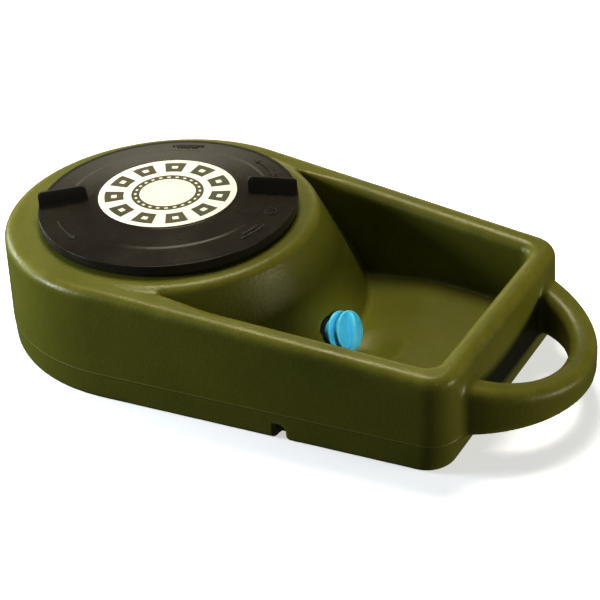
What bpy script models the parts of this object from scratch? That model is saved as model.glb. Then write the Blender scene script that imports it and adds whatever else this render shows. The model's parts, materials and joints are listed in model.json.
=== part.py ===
"""Portable tank and bowl: a hollow moulded tank with a screw-lid hatch, a basin and a carrying handle.

Frame: origin under the centre of the tank's round end, on the plane it stands on.
+X runs along the object towards the handle, +Z is up. Lengths below are in millimetres.
"""
import math

import bmesh
import bpy
from mathutils import Matrix, Vector

MM = 0.001
GAP = 0.3

# Tank, outside
TANK_HEIGHT = 117.6
TANK_RADIUS = 164.4
TANK_END_X = 358.7
TANK_CORNER_RADIUS = 26.0
SIDE_TAPER = math.radians(4.9)
WALL = 4.5
PARTING_Z = 30.5
DRAFT = 0.034
END_UNDERCUT = 4.0
TOP_ROUND = 9.0
BOTTOM_ROUND = 8.0

# Rim, which falls towards the handle
RIM_CREST_Z = 118.7
RIM_SLOPE = 0.0622
RIM_STEP = 0.1

# Basin
BASIN_START_X = 70.0
RIM_WIDTH = 28.0
END_RIM_WIDTH = 24.7
BASIN_DRAFT = 0.05
BASIN_CORNER_RADIUS = 12.0
LIP_ROUND = 11.6
FLOOR_LOW_X = 154.0
FLOOR_LOW_Z = 17.3
FLOOR_BEND_X = 224.0
FLOOR_BEND_Z = 32.5

# Tower that carries the hatch
TOWER_SHOULDER_RADIUS = 145.0
TOWER_SHOULDER_ROUND = 6.0
TOWER_SLOPE = 0.47
TOWER_CLIP = 6.0
TOWER_BOTTOM_Z = 7.0

# Handle
HANDLE_CENTRE_X = 331.0
HANDLE_OUTER_RADIUS = 104.0
HANDLE_INNER_RADIUS = 79.0
HANDLE_ROOT_ANGLE = math.radians(83.0)
HANDLE_ROOT_FLARE = 5.5
HANDLE_ROOT_TOP_Z = 75.5
HANDLE_TOP_SLOPE = 0.24
HANDLE_BOTTOM_Z = 27.0
HANDLE_BOTTOM_SLOPE = 0.06
HANDLE_TOP_ROUND = 10.0
HANDLE_BOTTOM_ROUND = 6.0

# Underside notches
NOTCH_X = 199.2
NOTCH_WIDTH = 11.5
NOTCH_HEIGHT = 18.0
NOTCH_DEPTH = 14.0

# Hatch collar
HATCH_RADIUS = 111.8
COLLAR_FLANGE_RADIUS = 122.0
COLLAR_FLANGE_THICKNESS = 3.3
COLLAR_OUTER_RADIUS = 111.5
COLLAR_BORE_RADIUS = 107.0
COLLAR_BOTTOM_Z = 91.6
COLLAR_LOCK_RADIUS = 117.0

# Lid
LID_RADIUS = 127.0
LID_EDGE_Z = 129.9
LID_CROWN_Z = 136.9
LID_FLAT_RADIUS = 71.0
LID_BAND_BOTTOM_Z = 119.9
LID_WALL = 3.4
LID_SEAT_Z = 124.6
LID_SEAT_RADIUS = 116.5
LID_SKIRT_RADIUS = 103.2
LID_SKIRT_BOTTOM_Z = 97.6
LID_ANGLE = math.radians(30.2)
TAB_INNER_RADIUS = 78.0
TAB_OUTER_RADIUS = 126.2
TAB_THICKNESS = 4.0
TAB_HEIGHT = 15.5
LABEL_RADIUS = 67.6
LABEL_THICKNESS = 0.5

# Screw thread between lid and collar
THREAD_PITCH = 10.0
THREAD_TURNS = 1.25
THREAD_ROOT_WIDTH = 3.4
THREAD_TIP_WIDTH = 2.0
LID_THREAD_TIP_RADIUS = 106.0
LID_THREAD_START_Z = 101.1
COLLAR_THREAD_TIP_RADIUS = 104.6
COLLAR_THREAD_START_Z = 96.1

# Outlet and stopper, along an axis that leans up out of the tower's sloping side
OUTLET_Z = 33.9
OUTLET_TILT = math.radians(20.0)
OUTLET_BEARING = math.radians(-4.1)
OUTLET_HOLE_RADIUS = 14.8
BOSS_RADIUS = 18.7
BUSHING_RADIUS = 14.5
BUSHING_BORE_RADIUS = 12.0
BUSHING_LENGTH = 17.0
STOPPER_STEM_RADIUS = 11.7
STOPPER_CORE_RADIUS = 12.5
STOPPER_RIB_RADIUS = 19.8
STOPPER_RIB_LOW = 7.6
STOPPER_END = 22.3
FIN_HALF_SPAN = 18.0
FIN_REACH = 5.5
FIN_THICKNESS = 4.5
FIN_TURN = math.radians(-26.0)
SUMP_SPHERE_RADIUS = 60.0
SUMP_REACH = 207.0
SUMP_Z = 13.5

TURN_STEPS = 64
ARC_STEPS = 12

MATERIALS = {
    "tank_olive": ((0.105, 0.110, 0.022), 0.42),
    "collar_black": ((0.020, 0.020, 0.020), 0.55),
    "lid_black": ((0.030, 0.028, 0.024), 0.38),
    "gasket_rubber": ((0.035, 0.035, 0.037), 0.75),
    "label_print": ((0.900, 0.880, 0.680), 0.45),
    "bushing_black": ((0.018, 0.020, 0.024), 0.50),
    "stopper_blue": ((0.060, 0.480, 0.680), 0.40),
}


def clear_scene():
    for obj in list(bpy.data.objects):
        bpy.data.objects.remove(obj, do_unlink=True)


def new_collection(name):
    collection = bpy.data.collections.new(name)
    bpy.context.scene.collection.children.link(collection)
    return collection


def make_material(name):
    colour, roughness = MATERIALS[name]
    material = bpy.data.materials.new(name)
    material.use_nodes = True
    shader = material.node_tree.nodes["Principled BSDF"]
    shader.inputs["Base Color"].default_value = (*colour, 1.0)
    shader.inputs["Roughness"].default_value = roughness
    shader.inputs["Metallic"].default_value = 0.0
    return material


def add_mesh(name, bm, collection):
    """Turn a bmesh in millimetres into an object in metres."""
    bmesh.ops.recalc_face_normals(bm, faces=bm.faces)
    mesh = bpy.data.meshes.new(name)
    bm.to_mesh(mesh)
    bm.free()
    mesh.transform(Matrix.Scale(MM, 4))
    obj = bpy.data.objects.new(name, mesh)
    collection.objects.link(obj)
    return obj


def add_cutter(name, bm):
    obj = add_mesh(name, bm, CUTTERS)
    obj.hide_render = True
    obj.display_type = "WIRE"
    return obj


def add_boolean(obj, other, operation):
    modifier = obj.modifiers.new(operation.lower(), "BOOLEAN")
    modifier.operation = operation
    modifier.solver = "EXACT"
    modifier.object = other


def cap_across(bm, loop):
    """Close a loop that mirrors itself in Y with flat strips from side to side, so it may fold in X.

    The loop starts at its single point on the mirror plane.
    """
    count = len(loop)
    bm.faces.new((loop[0], loop[1], loop[-1]))
    for i in range(1, count // 2):
        bm.faces.new((loop[i], loop[i + 1], loop[count - i - 1], loop[count - i]))


def loft(rings, folded_top=False):
    """Close a stack of equal-length point rings with end caps."""
    bm = bmesh.new()
    loops = [[bm.verts.new(point) for point in ring] for ring in rings]
    count = len(loops[0])
    for low, high in zip(loops, loops[1:]):
        for i in range(count):
            j = (i + 1) % count
            bm.faces.new((low[i], low[j], high[j], high[i]))
    bm.faces.new(loops[0][::-1])
    if folded_top:
        cap_across(bm, loops[-1])
    else:
        bm.faces.new(loops[-1])
    return bm


def turned(name, profile, collection, steps=TURN_STEPS):
    """Revolve a closed (radius, height) outline about Z; profile points on the axis are joined up."""
    bm = bmesh.new()
    verts = [bm.verts.new((radius, 0.0, height)) for radius, height in profile]
    for a, b in zip(verts, verts[1:]):
        bm.edges.new((a, b))
    on_axis = profile[0][0] == 0.0 and profile[-1][0] == 0.0
    if not on_axis:
        bm.edges.new((verts[-1], verts[0]))
    mesh = bpy.data.meshes.new(name)
    bm.to_mesh(mesh)
    bm.free()
    mesh.transform(Matrix.Scale(MM, 4))
    obj = bpy.data.objects.new(name, mesh)
    collection.objects.link(obj)
    screw = obj.modifiers.new("turn", "SCREW")
    screw.axis = "Z"
    screw.steps = steps
    screw.render_steps = steps
    screw.use_merge_vertices = True
    screw.merge_threshold = 0.00001
    screw.use_smooth_shade = True
    return obj


def cylinder(radius, low, high, segments=48):
    """Upright cylinder about the Z axis between two heights."""
    bm = bmesh.new()
    bmesh.ops.create_cone(
        bm, cap_ends=True, segments=segments, radius1=radius, radius2=radius, depth=high - low
    )
    bm.transform(Matrix.Translation((0.0, 0.0, 0.5 * (low + high))))
    return bm


def arc(centre, radius, start, end, steps=ARC_STEPS):
    return [
        (
            centre[0] + radius * math.cos(start + (end - start) * i / steps),
            centre[1] + radius * math.sin(start + (end - start) * i / steps),
        )
        for i in range(steps + 1)
    ]


def outlet_frame():
    """Placement whose +Z runs out through the outlet, with its origin on the tower's side."""
    foot = TOWER_SHOULDER_RADIUS + TOWER_SLOPE * (TANK_HEIGHT - OUTLET_Z)
    turn = Matrix.Rotation(OUTLET_BEARING, 4, "Z")
    lean = Matrix.Rotation(0.5 * math.pi - OUTLET_TILT, 4, "Y")
    return turn @ Matrix.Translation((foot, 0.0, OUTLET_Z)) @ lean


def in_metres(matrix):
    """The same placement with its offset in metres."""
    placed = matrix.copy()
    placed.translation *= MM
    return placed


def quarter_round(radius, steps=4):
    """(inset, drop) pairs over a quarter circle, from the side wall to the flat face."""
    for i in range(steps + 1):
        angle = 0.5 * math.pi * i / steps
        yield radius * (1.0 - math.cos(angle)), radius * (1.0 - math.sin(angle))


def draft_inset(z):
    """How far the outer wall stands inside the parting line at height z."""
    return DRAFT * abs(z - PARTING_Z)


def rim_z(x):
    """Height of the rim: level round the back, then falling steadily towards the handle."""
    return min(TANK_HEIGHT - RIM_STEP, RIM_CREST_Z - RIM_SLOPE * x)


def side_y(radius, x):
    """Half width at x of a plan whose sides are tangent to a circle about the origin."""
    return (radius - x * math.sin(SIDE_TAPER)) / math.cos(SIDE_TAPER)


def end_corners(radius, end_x, corner_radius):
    """The two rounded corners where the tapering sides meet the flat end."""
    normal = 0.5 * math.pi - SIDE_TAPER
    corner_x = end_x - corner_radius
    corner_y = side_y(radius - corner_radius, corner_x)
    near = arc((corner_x, -corner_y), corner_radius, -normal, 0.0, 6)
    far = arc((corner_x, corner_y), corner_radius, 0.0, normal, 6)
    return near + far


def tank_plan(inset, end_inset):
    """Plan outline from the rearmost point: a circle about the origin, two tangent sides, a flat end."""
    radius = TANK_RADIUS - inset
    normal = 0.5 * math.pi - SIDE_TAPER
    near = arc((0.0, 0.0), radius, math.pi, 2.0 * math.pi - normal, 2 * ARC_STEPS)
    far = arc((0.0, 0.0), radius, normal, math.pi, 2 * ARC_STEPS)[:-1]
    return near + end_corners(radius, TANK_END_X - end_inset, TANK_CORNER_RADIUS - inset) + far


def level_ring(z, inset):
    total = inset + draft_inset(z)
    undercut = END_UNDERCUT * max(0.0, 1.0 - z / PARTING_Z)
    return [(x, y, z) for x, y in tank_plan(total, total + undercut)]


def rim_ring(drop, inset):
    """A ring that follows the rim at a depth below it."""
    total = inset + draft_inset(TANK_HEIGHT - drop)
    return [(x, y, rim_z(x) - drop) for x, y in tank_plan(total, total)]


def tank_block(inset):
    """The tank's outer form, or the same form brought in by a wall thickness."""
    rings = []
    for side, drop in reversed(list(quarter_round(BOTTOM_ROUND - min(inset, BOTTOM_ROUND - 2.0)))):
        rings.append(level_ring(inset + drop, inset + side))
    rings.append(level_ring(PARTING_Z, inset))
    for side, drop in quarter_round(TOP_ROUND - min(inset, TOP_ROUND - 2.0)):
        rings.append(rim_ring(inset + drop, inset + side))
    return loft(rings, folded_top=True)


def basin_ring(rise, grow):
    """Basin opening at a height above the foot of its rounded lip."""
    reach = LIP_ROUND + grow
    curl = min(max(rise, 0.0), LIP_ROUND)
    flare = reach - math.sqrt(reach * reach - curl * curl)
    inset = RIM_WIDTH - grow + BASIN_DRAFT * max(-rise, 0.0)
    plan_radius = TANK_RADIUS - inset + flare
    end_x = TANK_END_X - (END_RIM_WIDTH - RIM_WIDTH) - inset + flare
    start_x = BASIN_START_X - grow
    half_width = side_y(plan_radius, start_x)
    plan = [(start_x, half_width), (start_x, -half_width)]
    plan += end_corners(plan_radius, end_x, BASIN_CORNER_RADIUS + grow + flare)
    return [(x, y, RIM_CREST_Z - RIM_SLOPE * x - LIP_ROUND + rise) for x, y in plan]


def basin_block(grow):
    deepest = FLOOR_LOW_Z - 8.0 - (RIM_CREST_Z - RIM_SLOPE * BASIN_START_X - LIP_ROUND)
    rises = [deepest, 0.0] + [LIP_ROUND * math.sin(0.5 * math.pi * i / 5) for i in range(1, 6)]
    return loft([basin_ring(rise, grow) for rise in rises + [LIP_ROUND + 8.0]])


def tower_profile(shrink):
    """The tower's side: a cone with a rounded shoulder, from its foot up to the shoulder."""
    lean = math.atan(TOWER_SLOPE)
    side = shrink / math.cos(lean)
    top_z = TANK_HEIGHT - shrink
    foot_radius = TOWER_SHOULDER_RADIUS + TOWER_SLOPE * (TANK_HEIGHT - TOWER_BOTTOM_Z) - side
    corner_radius = TOWER_SHOULDER_RADIUS + TOWER_SLOPE * shrink - side
    centre_r = corner_radius - TOWER_SHOULDER_ROUND * math.tan(0.5 * (0.5 * math.pi - lean))
    centre_z = top_z - TOWER_SHOULDER_ROUND
    return [(foot_radius, TOWER_BOTTOM_Z)] + arc(
        (centre_r, centre_z), TOWER_SHOULDER_ROUND, lean, 0.5 * math.pi, 4
    )


def tower_core(name, shrink):
    """The cone that carries the hatch, kept clear of the tank's own side walls."""
    side = tower_profile(shrink)
    profile = [(0.0, side[-1][1])] + side[::-1] + [(0.0, TOWER_BOTTOM_Z)]
    core = turned(name, profile, CUTTERS, steps=96)
    core.hide_render = True
    core.display_type = "WIRE"
    inset = shrink + TOWER_CLIP
    plan = tank_plan(inset, inset)
    clip = loft([[(x, y, z) for x, y in plan] for z in (0.0, TANK_HEIGHT + 10.0)])
    add_boolean(core, add_cutter(name + "_clip", clip), "INTERSECT")
    return core


def floor_wedge(shrink):
    """Everything under the basin floor, which climbs from the outlet and then runs level."""
    slope = (FLOOR_BEND_Z - FLOOR_LOW_Z) / (FLOOR_BEND_X - FLOOR_LOW_X)
    start_x = BASIN_START_X - 20.0
    stop_x = TANK_END_X + 30.0
    hidden_run = 20.0
    hidden_z = FLOOR_LOW_Z - slope * hidden_run - shrink
    outline = [
        (start_x, -20.0),
        (stop_x, -20.0),
        (stop_x, FLOOR_BEND_Z - shrink),
        (FLOOR_BEND_X, FLOOR_BEND_Z - shrink),
        (FLOOR_LOW_X - hidden_run, hidden_z),
        (start_x, hidden_z),
    ]
    return loft([[(x, y, z) for x, z in outline] for y in (-TANK_RADIUS, TANK_RADIUS)])


def sump_sphere(grow):
    """A shallow round dish in the floor below the stopper."""
    bm = bmesh.new()
    bmesh.ops.create_uvsphere(bm, u_segments=48, v_segments=32, radius=SUMP_SPHERE_RADIUS + grow)
    bm.transform(Matrix.Translation((SUMP_REACH, 0.0, SUMP_Z + SUMP_SPHERE_RADIUS)))
    bm.transform(Matrix.Rotation(OUTLET_BEARING, 4, "Z"))
    return bm


def basin_cutter(name, grow):
    cutter = add_cutter(name, basin_block(grow))
    floor = add_cutter(name + "_floor", floor_wedge(grow))
    add_boolean(floor, add_cutter(name + "_sump", sump_sphere(grow)), "DIFFERENCE")
    add_boolean(cutter, floor, "DIFFERENCE")
    return cutter


def handle_section(angle, inset):
    """Rounded cross-section of the handle at an angle from its tip, about the arcs' shared centre."""
    across = Vector((math.cos(angle), math.sin(angle), 0.0))
    flare = HANDLE_ROOT_FLARE * (abs(angle) / HANDLE_ROOT_ANGLE) ** 3
    outer = HANDLE_OUTER_RADIUS + flare
    middle = Vector((HANDLE_CENTRE_X, 0.0, 0.0)) + across * 0.5 * (outer + HANDLE_INNER_RADIUS)
    half_width = 0.5 * (outer - HANDLE_INNER_RADIUS) - inset
    reach = middle.x - TANK_END_X
    top = HANDLE_ROOT_TOP_Z - HANDLE_TOP_SLOPE * reach - inset
    bottom = HANDLE_BOTTOM_Z + HANDLE_BOTTOM_SLOPE * reach + inset
    half_height = 0.5 * (top - bottom)
    middle.z = 0.5 * (top + bottom)
    ring = []
    for quadrant in range(4):
        sign_w = 1 if quadrant in (0, 3) else -1
        sign_h = 1 if quadrant in (0, 1) else -1
        full_round = HANDLE_TOP_ROUND if sign_h > 0 else HANDLE_BOTTOM_ROUND
        radius = max(full_round - inset, 3.0)
        for i in range(5):
            turn = 0.5 * math.pi * (quadrant + i / 4)
            w = sign_w * (half_width - radius) + radius * math.cos(turn)
            h = sign_h * (half_height - radius) + radius * math.sin(turn)
            ring.append(middle + across * w + Vector((0.0, 0.0, h)))
    return ring


def handle_block(inset):
    steps = 2 * ARC_STEPS
    angles = [HANDLE_ROOT_ANGLE * (2.0 * i / steps - 1.0) for i in range(steps + 1)]
    return loft([handle_section(angle, inset) for angle in angles])


def notch_cutters(grow):
    """Round-topped notches in the bottom edge of each long side."""
    radius = 0.5 * NOTCH_WIDTH + grow
    length = 2.0 * (NOTCH_DEPTH + grow)
    height = NOTCH_HEIGHT + grow
    outline = [(NOTCH_X + radius, -5.0)]
    outline += arc((NOTCH_X, height - radius), radius, 0.0, math.pi, 8)
    outline += [(NOTCH_X - radius, -5.0)]
    cutters = []
    for side in (-1, 1):
        middle = side * side_y(TANK_RADIUS, NOTCH_X)
        rings = [[(x, y, z) for x, z in outline] for y in (middle - 0.5 * length, middle + 0.5 * length)]
        cutters.append(loft(rings))
    return cutters


def make_tank():
    """The one-piece tank: outer form, less the basin and the inner space, opened at hatch and outlet."""
    tank = add_mesh("tank_body", tank_block(0.0), PARTS)
    space = add_cutter("tank_space", tank_block(WALL))
    add_boolean(tank, add_cutter("handle_form", handle_block(0.0)), "UNION")
    add_boolean(space, add_cutter("handle_space", handle_block(WALL)), "UNION")
    add_boolean(tank, basin_cutter("basin", 0.0), "DIFFERENCE")
    add_boolean(space, basin_cutter("basin_wall", WALL), "DIFFERENCE")
    add_boolean(tank, tower_core("tower", 0.0), "UNION")
    add_boolean(space, tower_core("tower_space", WALL), "UNION")
    boss = cylinder(BOSS_RADIUS, -BUSHING_LENGTH - 1.0, 6.0, segments=36)
    boss.transform(outlet_frame())
    add_boolean(space, add_cutter("boss_form", boss), "DIFFERENCE")
    for i, bm in enumerate(notch_cutters(0.0)):
        add_boolean(tank, add_cutter(f"notch_{i}", bm), "DIFFERENCE")
    for i, bm in enumerate(notch_cutters(WALL)):
        add_boolean(space, add_cutter(f"notch_wall_{i}", bm), "DIFFERENCE")
    add_boolean(tank, space, "DIFFERENCE")
    hatch = cylinder(HATCH_RADIUS, TANK_HEIGHT - 10.0, TANK_HEIGHT + 10.0, segments=TURN_STEPS)
    add_boolean(tank, add_cutter("hatch_hole", hatch), "DIFFERENCE")
    outlet = cylinder(OUTLET_HOLE_RADIUS, -30.0, 15.0, segments=32)
    outlet.transform(outlet_frame())
    add_boolean(tank, add_cutter("outlet_hole", outlet), "DIFFERENCE")
    return tank


def thread_ridge(root_radius, tip_radius, start_z):
    """A right-hand helical ridge of trapezoid section."""
    steps = round(THREAD_TURNS * 40)
    overlap = 0.8 if tip_radius > root_radius else -0.8
    rings = []
    for i in range(steps + 1):
        turn = THREAD_TURNS * i / steps
        angle = 2.0 * math.pi * turn
        z = start_z + THREAD_PITCH * turn
        fade = min(1.0, 8.0 * min(turn, THREAD_TURNS - turn) + 0.15)
        tip = root_radius + (tip_radius - root_radius) * fade
        section = [
            (root_radius - overlap, z - 0.5 * THREAD_ROOT_WIDTH),
            (tip, z - 0.5 * THREAD_TIP_WIDTH),
            (tip, z + 0.5 * THREAD_TIP_WIDTH),
            (root_radius - overlap, z + 0.5 * THREAD_ROOT_WIDTH),
        ]
        rings.append([(r * math.cos(angle), r * math.sin(angle), h) for r, h in section])
    return loft(rings)


def make_collar():
    """Threaded ring moulded into the tank's top wall, which it grips between two flanges."""
    flange_low = TANK_HEIGHT + GAP
    flange_high = flange_low + COLLAR_FLANGE_THICKNESS
    lock_high = TANK_HEIGHT - WALL - GAP
    profile = [
        (COLLAR_BORE_RADIUS, flange_high),
        (COLLAR_FLANGE_RADIUS - 1.0, flange_high),
        (COLLAR_FLANGE_RADIUS, flange_high - 1.0),
        (COLLAR_FLANGE_RADIUS, flange_low),
        (COLLAR_OUTER_RADIUS, flange_low),
        (COLLAR_OUTER_RADIUS, lock_high),
        (COLLAR_LOCK_RADIUS, lock_high),
        (COLLAR_LOCK_RADIUS, lock_high - 2.8),
        (COLLAR_OUTER_RADIUS, lock_high - 2.8),
        (COLLAR_OUTER_RADIUS, COLLAR_BOTTOM_Z),
        (COLLAR_BORE_RADIUS, COLLAR_BOTTOM_Z),
    ]
    collar = turned("hatch_collar", profile, PARTS)
    ridge = thread_ridge(COLLAR_BORE_RADIUS, COLLAR_THREAD_TIP_RADIUS, COLLAR_THREAD_START_Z)
    add_boolean(collar, add_cutter("collar_thread", ridge), "UNION")
    return collar


def lid_surface_z(radius):
    if radius <= LID_FLAT_RADIUS:
        return LID_CROWN_Z
    slope = (LID_CROWN_Z - LID_EDGE_Z) / (LID_RADIUS - LID_FLAT_RADIUS)
    return LID_CROWN_Z - slope * (radius - LID_FLAT_RADIUS)


def tab_form(angle):
    """A thin upright grip tab with rounded top corners, set along a radius of the lid."""
    base_in = lid_surface_z(TAB_INNER_RADIUS) - 2.0
    base_out = lid_surface_z(TAB_OUTER_RADIUS) - 2.0
    top_in = lid_surface_z(TAB_INNER_RADIUS) + TAB_HEIGHT
    top_out = lid_surface_z(TAB_OUTER_RADIUS) + TAB_HEIGHT
    corner = 4.0
    outline = [(TAB_INNER_RADIUS, base_in), (TAB_OUTER_RADIUS, base_out)]
    outline += arc((TAB_OUTER_RADIUS - corner, top_out - corner), corner, 0.0, 0.5 * math.pi, 5)
    outline += arc((TAB_INNER_RADIUS + corner, top_in - corner), corner, 0.5 * math.pi, math.pi, 5)
    half = 0.5 * TAB_THICKNESS
    bm = loft([[(r, y, z) for r, z in outline] for y in (half, -half)])
    bm.transform(Matrix.Rotation(angle, 4, "Z"))
    return bm


def make_lid():
    """The screw lid: a shallow crowned disc with a side band, a gasket seat and a threaded skirt."""
    skirt_bore = LID_SKIRT_RADIUS - LID_WALL
    profile = [
        (0.0, LID_CROWN_Z),
        (LID_FLAT_RADIUS, LID_CROWN_Z),
        (LID_RADIUS - 1.2, lid_surface_z(LID_RADIUS - 1.2)),
        (LID_RADIUS, LID_EDGE_Z - 1.0),
        (LID_RADIUS, LID_BAND_BOTTOM_Z + 0.8),
        (LID_RADIUS - 0.8, LID_BAND_BOTTOM_Z),
        (LID_RADIUS - LID_WALL, LID_BAND_BOTTOM_Z),
        (LID_RADIUS - LID_WALL, LID_EDGE_Z - LID_WALL),
        (LID_SEAT_RADIUS, lid_surface_z(LID_SEAT_RADIUS) - LID_WALL),
        (LID_SEAT_RADIUS, LID_SEAT_Z),
        (LID_SKIRT_RADIUS, LID_SEAT_Z),
        (LID_SKIRT_RADIUS, LID_SKIRT_BOTTOM_Z),
        (skirt_bore, LID_SKIRT_BOTTOM_Z),
        (skirt_bore, lid_surface_z(skirt_bore) - LID_WALL),
        (LID_FLAT_RADIUS, LID_CROWN_Z - LID_WALL),
        (0.0, LID_CROWN_Z - LID_WALL),
    ]
    lid = turned("lid", profile, PARTS)
    ridge = thread_ridge(LID_SKIRT_RADIUS, LID_THREAD_TIP_RADIUS, LID_THREAD_START_Z)
    add_boolean(lid, add_cutter("lid_thread", ridge), "UNION")
    for i, angle in enumerate((LID_ANGLE, LID_ANGLE + math.pi)):
        add_boolean(lid, add_cutter(f"tab_form_{i}", tab_form(angle)), "UNION")
    return lid


def make_gasket():
    """Flat rubber ring between the lid's seat and the collar's flange."""
    low = TANK_HEIGHT + GAP + COLLAR_FLANGE_THICKNESS + GAP
    high = LID_SEAT_Z - GAP
    profile = [(115.0, high), (115.6, high - 0.6), (115.6, low + 0.6), (115.0, low), (107.6, low), (107.6, high)]
    return turned("lid_gasket", profile, PARTS)


def make_label():
    """Round printed sticker on the lid's flat centre."""
    low = LID_CROWN_Z + GAP
    return add_mesh("lid_label", cylinder(LABEL_RADIUS, low, low + LABEL_THICKNESS, TURN_STEPS), PARTS)


def make_bushing():
    """Sleeve moulded into the tower wall, which lines the outlet hole."""
    edge = 0.8
    profile = [
        (BUSHING_BORE_RADIUS, -edge),
        (BUSHING_BORE_RADIUS + edge, 0.0),
        (BUSHING_RADIUS, 0.0),
        (BUSHING_RADIUS, -BUSHING_LENGTH),
        (BUSHING_BORE_RADIUS, -BUSHING_LENGTH),
    ]
    bushing = turned("outlet_bushing", profile, PARTS, steps=32)
    bushing.matrix_world = in_metres(outlet_frame())
    return bushing


def make_stopper():
    """Soft push-in stopper: a grooved stem, two wide ribs outside and a grip fin on its end."""
    stem = STOPPER_STEM_RADIUS
    groove = stem - 1.6
    rib = STOPPER_RIB_RADIUS
    core = STOPPER_CORE_RADIUS
    profile = [
        (0.0, STOPPER_END),
        (rib - 2.0, STOPPER_END),
        (rib, STOPPER_END - 1.4),
        (rib, STOPPER_END - 2.6),
        (rib - 1.8, STOPPER_END - 4.0),
        (core, STOPPER_END - 5.0),
        (core, STOPPER_RIB_LOW + 5.6),
        (rib - 1.8, STOPPER_RIB_LOW + 4.6),
        (rib, STOPPER_RIB_LOW + 3.2),
        (rib, STOPPER_RIB_LOW + 2.0),
        (rib - 1.8, STOPPER_RIB_LOW + 0.8),
        (core, STOPPER_RIB_LOW),
        (core, 1.5),
        (stem, 1.5),
    ]
    for ring in range(3):
        high = -2.5 - 5.0 * ring
        profile += [(stem, high), (groove, high - 0.9), (groove, high - 2.6), (stem, high - 3.5)]
    profile += [(stem - 1.5, -BUSHING_LENGTH - 1.0), (0.0, -BUSHING_LENGTH - 1.0)]
    stopper = turned("outlet_stopper", profile, PARTS, steps=40)
    stopper.matrix_world = in_metres(outlet_frame())
    corner = 4.0
    outline = [(-FIN_HALF_SPAN, -3.0), (FIN_HALF_SPAN, -3.0)]
    outline += arc((FIN_HALF_SPAN - corner, FIN_REACH - corner), corner, 0.0, 0.5 * math.pi, 5)
    outline += arc((corner - FIN_HALF_SPAN, FIN_REACH - corner), corner, 0.5 * math.pi, math.pi, 5)
    half = 0.5 * FIN_THICKNESS
    fin = loft([[(-x, y, STOPPER_END + z) for x, z in outline] for y in (-half, half)])
    fin.transform(outlet_frame() @ Matrix.Rotation(FIN_TURN, 4, "Z"))
    add_boolean(stopper, add_cutter("stopper_fin", fin), "UNION")
    return stopper


def finish(obj, material_name):
    obj.data.materials.append(make_material(material_name))


clear_scene()
PARTS = new_collection("portable_tank_bowl")
CUTTERS = new_collection("cutters")
finish(make_tank(), "tank_olive")
finish(make_collar(), "collar_black")
finish(make_lid(), "lid_black")
finish(make_gasket(), "gasket_rubber")
finish(make_label(), "label_print")
finish(make_bushing(), "bushing_black")
finish(make_stopper(), "stopper_blue")
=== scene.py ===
"""Looks for the portable tank and bowl: fine moulded surfaces, materials, floor, light and camera.

Lengths are in millimetres until a mesh is finished, and metres after that. The frame is the CAD frame:
origin under the centre of the round end, +X towards the handle, +Z up.
"""
import json
import math

import bmesh
import bpy
import numpy as np
from mathutils import Matrix, Vector


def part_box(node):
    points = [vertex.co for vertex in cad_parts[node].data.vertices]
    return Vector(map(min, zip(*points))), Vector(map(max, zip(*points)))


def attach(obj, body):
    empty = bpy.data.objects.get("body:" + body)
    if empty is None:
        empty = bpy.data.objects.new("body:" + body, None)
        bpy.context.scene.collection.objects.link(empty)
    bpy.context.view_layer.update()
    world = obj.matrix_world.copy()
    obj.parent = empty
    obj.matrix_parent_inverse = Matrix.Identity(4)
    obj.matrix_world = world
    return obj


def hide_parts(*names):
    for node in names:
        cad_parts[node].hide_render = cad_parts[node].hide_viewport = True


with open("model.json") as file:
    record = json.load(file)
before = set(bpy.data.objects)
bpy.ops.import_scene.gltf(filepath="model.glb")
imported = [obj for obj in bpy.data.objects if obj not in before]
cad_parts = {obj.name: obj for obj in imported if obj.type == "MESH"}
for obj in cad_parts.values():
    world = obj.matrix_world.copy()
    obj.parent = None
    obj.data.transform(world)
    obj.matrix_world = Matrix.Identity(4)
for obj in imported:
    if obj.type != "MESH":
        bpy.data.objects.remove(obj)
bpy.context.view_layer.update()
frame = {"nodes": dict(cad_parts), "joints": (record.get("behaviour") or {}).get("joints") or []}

MM = 0.001
AXIS_UP = Vector((0.0, 0.0, 1.0))


def box_mm(node):
    low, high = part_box(node)
    return low / MM, high / MM


TANK_LOW, TANK_HIGH = box_mm("tank_body")
LID_LOW, LID_HIGH = box_mm("lid")
LABEL_LOW, LABEL_HIGH = box_mm("lid_label")
STOPPER_AXIS = Vector(next(j["axis"] for j in frame["joints"] if j["name"] == "stopper_pull"))

# Tank, as in the CAD design
TANK_TOP = TANK_HIGH.z
TANK_RADIUS = -TANK_LOW.x
TANK_END_X = 358.7
TANK_CORNER = 26.0
SIDE_TAPER = math.radians(4.9)
PARTING_Z = 30.5
DRAFT = 0.034
END_UNDERCUT = 4.0
TOP_ROUND = 9.0
BOTTOM_ROUND = 8.0
HATCH_WALL = 4.5
WALL = 6.6
RIM_CREST_Z = 118.7
RIM_SLOPE = 0.0622
BASIN_RADIUS = 136.4
BASIN_END_X = 334.0
BASIN_CORNER = 12.0
BASIN_START_X = 70.0
BASIN_DRAFT = 0.05
LIP_ROUND = 11.6
LIP_START = 2.5
TOWER_RADIUS = 145.0
TOWER_SLOPE = 0.47
TOWER_ROUND = 6.0
FLOOR_LEVEL = 32.5
FLOOR_FOOT_RADIUS = 194.0
FLOOR_FOOT_Z = 17.5
FLOOR_RISE = 0.25
HANDLE_X = 331.0
HANDLE_OUTER = 104.0
HANDLE_INNER = 79.0
HANDLE_ROOT_ANGLE = math.radians(83.0)
HANDLE_FLARE = 5.5
HANDLE_TOP_Z = 75.5
HANDLE_TOP_SLOPE = 0.24
HANDLE_BOTTOM_Z = 27.0
HANDLE_BOTTOM_SLOPE = 0.06
HANDLE_TOP_ROUND = 10.0
HANDLE_BOTTOM_ROUND = 6.0
HANDLE_FILLET = 6.0
NOTCH_X = 199.2
NOTCH_HALF = 5.75
NOTCH_TOP = 18.0
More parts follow.
